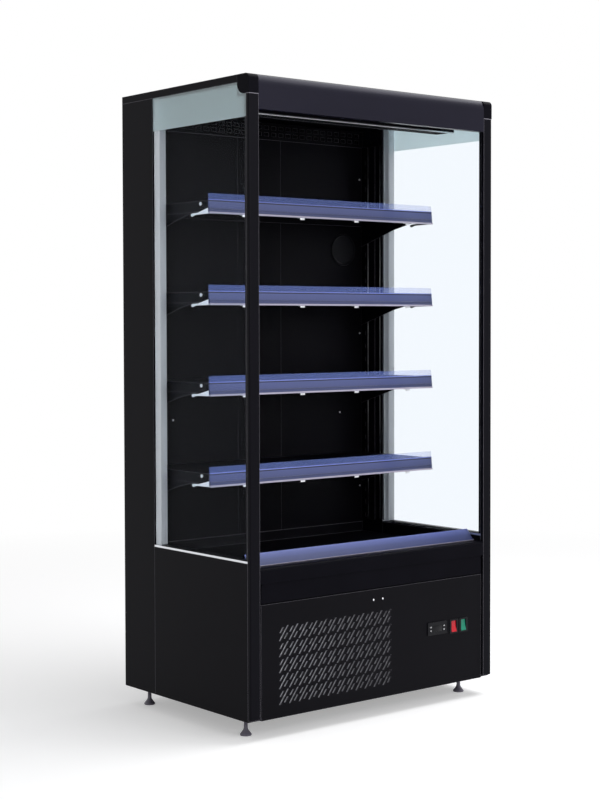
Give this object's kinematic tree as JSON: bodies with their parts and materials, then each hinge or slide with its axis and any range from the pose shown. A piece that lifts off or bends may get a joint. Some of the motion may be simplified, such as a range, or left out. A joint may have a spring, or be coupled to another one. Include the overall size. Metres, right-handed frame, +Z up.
{
  "type": "open multideck display fridge",
  "caption": "Tall open-front refrigerated display cabinet with glazed sides, lift-off shelves with price rails, and a grilled machine base on levelling feet.",
  "frame": {"origin": "on the floor under the middle of the cabinet, at the centre of the bounding box's base", "axes": "+Z up, -Y is the open front, +X to the right seen from the front"},
  "size_m": [1, 0.66, 1.94],
  "materials": {
    "black_steel": "satin black powder coat",
    "black_extrusion": "satin black",
    "black_plastic": "moulded black",
    "foot_plastic": "moulded dark grey",
    "glass": "clear, printed band at the top",
    "bright_metal": "mill finish",
    "rail_plastic": "extruded grey blue",
    "clear_blue": "tinted clear plastic",
    "red_plastic": "moulded red",
    "green_plastic": "moulded green",
    "compressor_paint": "gloss black"
  },
  "bodies": {
    "cabinet": {"back_panels": "black_steel", "base_price_rail": "rail_plastic", "canopy_duct": "black_steel", "canopy_end_caps": "black_plastic", "canopy_fascia": "black_extrusion", "chassis_pan": "black_steel", "compressor": "compressor_paint", "condenser": "bright_metal", "condenser_fan_mount": "black_plastic", "controller": "black_plastic", "evaporator": "bright_metal", "evaporator_fan_mount": "bright_metal", "glass_channels": "bright_metal", "glass_spacers": "bright_metal", "honeycomb": "bright_metal", "insulated_tub": "black_steel", "mid_trim": "black_steel", "nose": "black_extrusion", "outlet_grille": "black_steel", "post_left": "black_extrusion", "post_right": "black_extrusion", "rear_column_left": "black_steel", "rear_column_right": "black_steel", "rear_wall": "black_steel", "return_grille": "black_steel", "roof_panel": "black_steel", "round_cover": "black_plastic", "service_panel": "black_steel", "shelf_brackets": "black_steel", "shelf_uprights": "black_steel", "side_glass_left": "glass", "side_glass_right": "glass", "side_panel_left": "black_steel", "side_panel_right": "black_steel", "switch_housings": "black_plastic"},
    "foot_front_left": {"foot_front_left": "foot_plastic"},
    "foot_front_right": {"foot_front_right": "foot_plastic"},
    "foot_rear_left": {"foot_rear_left": "foot_plastic"},
    "foot_rear_right": {"foot_rear_right": "foot_plastic"},
    "shelf_1": {"shelf_tray_1": "black_steel", "price_rail_1": "rail_plastic", "riser_1": "clear_blue"},
    "shelf_2": {"shelf_tray_2": "black_steel", "price_rail_2": "rail_plastic", "riser_2": "clear_blue"},
    "shelf_3": {"shelf_tray_3": "black_steel", "price_rail_3": "rail_plastic", "riser_3": "clear_blue"},
    "shelf_4": {"shelf_tray_4": "black_steel", "price_rail_4": "rail_plastic", "riser_4": "clear_blue"},
    "deck": {"deck_tray": "black_steel"},
    "key_1": {"controller_key_1": "black_plastic"},
    "key_2": {"controller_key_2": "black_plastic"},
    "key_3": {"controller_key_3": "black_plastic"},
    "key_4": {"controller_key_4": "black_plastic"},
    "rocker_red": {"rocker_red": "red_plastic"},
    "rocker_green": {"rocker_green": "green_plastic"},
    "condenser_fan": {"condenser_fan": "black_plastic"},
    "evaporator_fan": {"evaporator_fan": "black_plastic"}
  },
  "joints": [
    {"name": "foot_front_left_screw", "type": "slide", "parent": "cabinet", "child": "foot_front_left", "axis": [0, 0, 1], "range_m": [-0.02, 0]},
    {"name": "foot_front_right_screw", "type": "slide", "parent": "cabinet", "child": "foot_front_right", "axis": [0, 0, 1], "range_m": [-0.02, 0]},
    {"name": "foot_rear_left_screw", "type": "slide", "parent": "cabinet", "child": "foot_rear_left", "axis": [0, 0, 1], "range_m": [-0.02, 0]},
    {"name": "foot_rear_right_screw", "type": "slide", "parent": "cabinet", "child": "foot_rear_right", "axis": [0, 0, 1], "range_m": [-0.02, 0]},
    {"name": "shelf_1_lift", "type": "slide", "parent": "cabinet", "child": "shelf_1", "axis": [0, 0, 1], "range_m": [0, 0.03]},
    {"name": "shelf_2_lift", "type": "slide", "parent": "cabinet", "child": "shelf_2", "axis": [0, 0, 1], "range_m": [0, 0.03]},
    {"name": "shelf_3_lift", "type": "slide", "parent": "cabinet", "child": "shelf_3", "axis": [0, 0, 1], "range_m": [0, 0.03]},
    {"name": "shelf_4_lift", "type": "slide", "parent": "cabinet", "child": "shelf_4", "axis": [0, 0, 1], "range_m": [0, 0.03]},
    {"name": "deck_lift", "type": "slide", "parent": "cabinet", "child": "deck", "axis": [0, 0, 1], "range_m": [0, 0.03]},
    {"name": "key_1_press", "type": "slide", "parent": "cabinet", "child": "key_1", "axis": [0, 1, 0], "range_m": [0, 0.0008], "stiffness_N_per_m": 400, "springref_m": -0.0006},
    {"name": "key_2_press", "type": "slide", "parent": "cabinet", "child": "key_2", "axis": [0, 1, 0], "range_m": [0, 0.0008], "stiffness_N_per_m": 400, "springref_m": -0.0006},
    {"name": "key_3_press", "type": "slide", "parent": "cabinet", "child": "key_3", "axis": [0, 1, 0], "range_m": [0, 0.0008], "stiffness_N_per_m": 400, "springref_m": -0.0006},
    {"name": "key_4_press", "type": "slide", "parent": "cabinet", "child": "key_4", "axis": [0, 1, 0], "range_m": [0, 0.0008], "stiffness_N_per_m": 400, "springref_m": -0.0006},
    {"name": "rocker_red_tip", "type": "hinge", "parent": "cabinet", "child": "rocker_red", "pos_m": [0.332, -0.324, 0.244], "axis": [1, 0, 0], "range_deg": [0, 16]},
    {"name": "rocker_green_tip", "type": "hinge", "parent": "cabinet", "child": "rocker_green", "pos_m": [0.375, -0.324, 0.244], "axis": [1, 0, 0], "range_deg": [0, 16]},
    {"name": "condenser_fan_spin", "type": "hinge", "parent": "cabinet", "child": "condenser_fan", "pos_m": [-0.172, -0.23, 0.185], "axis": [0, 1, 0], "continuous": true},
    {"name": "evaporator_fan_spin", "type": "hinge", "parent": "cabinet", "child": "evaporator_fan", "pos_m": [0, -0.045, 0.42], "axis": [0, 1, 0], "continuous": true}
  ]
}
